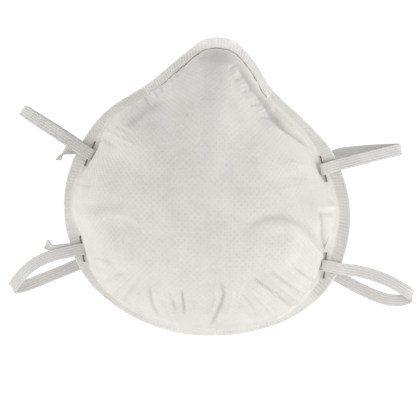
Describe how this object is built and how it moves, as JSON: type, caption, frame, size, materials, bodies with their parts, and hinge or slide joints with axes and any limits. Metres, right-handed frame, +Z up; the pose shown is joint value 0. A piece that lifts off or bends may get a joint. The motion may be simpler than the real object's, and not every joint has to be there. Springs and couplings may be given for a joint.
{
  "type": "disposable dust mask",
  "caption": "Cup-shaped white nonwoven dust mask with a flat welded rim, a nose clip under a strip, stapled flat elastic headbands that stretch, and a foam nose pad.",
  "frame": {"origin": "middle of the rim's opening, in the plane of the rim's back face that seals on the wearer's face", "axes": "+Z up towards the nose, -Y forwards out of the cup's front, +X towards the wearer's left, which is the viewer's right"},
  "size_m": [0.1876, 0.063, 0.1363],
  "materials": {
    "cover_nonwoven": "matt embossed white spunbond",
    "filter_web": "matt white melt-blown web",
    "shell_felt": "matt white moulded needle felt",
    "clip_aluminium": "satin soft aluminium",
    "strip_nonwoven": "matt welded white nonwoven strip",
    "nose_foam": "matt light grey soft foam",
    "staple_wire": "bright galvanised steel wire",
    "elastic_tape": "matt ribbed off-white elastic tape"
  },
  "bodies": {
    "mask": {"outer_cover": "cover_nonwoven", "filter_layer": "filter_web", "inner_shell": "shell_felt", "nose_clip": "clip_aluminium", "nose_clip_strip": "strip_nonwoven", "nose_foam": "nose_foam", "upper_left_staple": "staple_wire", "upper_right_staple": "staple_wire", "lower_left_staple": "staple_wire", "lower_right_staple": "staple_wire", "upper_headband_left": "elastic_tape", "upper_headband_right": "elastic_tape", "lower_headband_left": "elastic_tape", "lower_headband_right": "elastic_tape"},
    "upper_headband": {"upper_headband_back": "elastic_tape"},
    "lower_headband": {"lower_headband_back": "elastic_tape"}
  },
  "joints": [
    {"name": "upper_headband_pull", "type": "slide", "parent": "mask", "child": "upper_headband", "axis": [0, 0.866, 0.5], "range_m": [0, 0.16], "stiffness_N_per_m": 15, "deforming": ["upper_headband_left", "upper_headband_right"]},
    {"name": "lower_headband_pull", "type": "slide", "parent": "mask", "child": "lower_headband", "axis": [0, 0.9659, -0.2588], "range_m": [0, 0.16], "stiffness_N_per_m": 15, "deforming": ["lower_headband_left", "lower_headband_right"]}
  ]
}
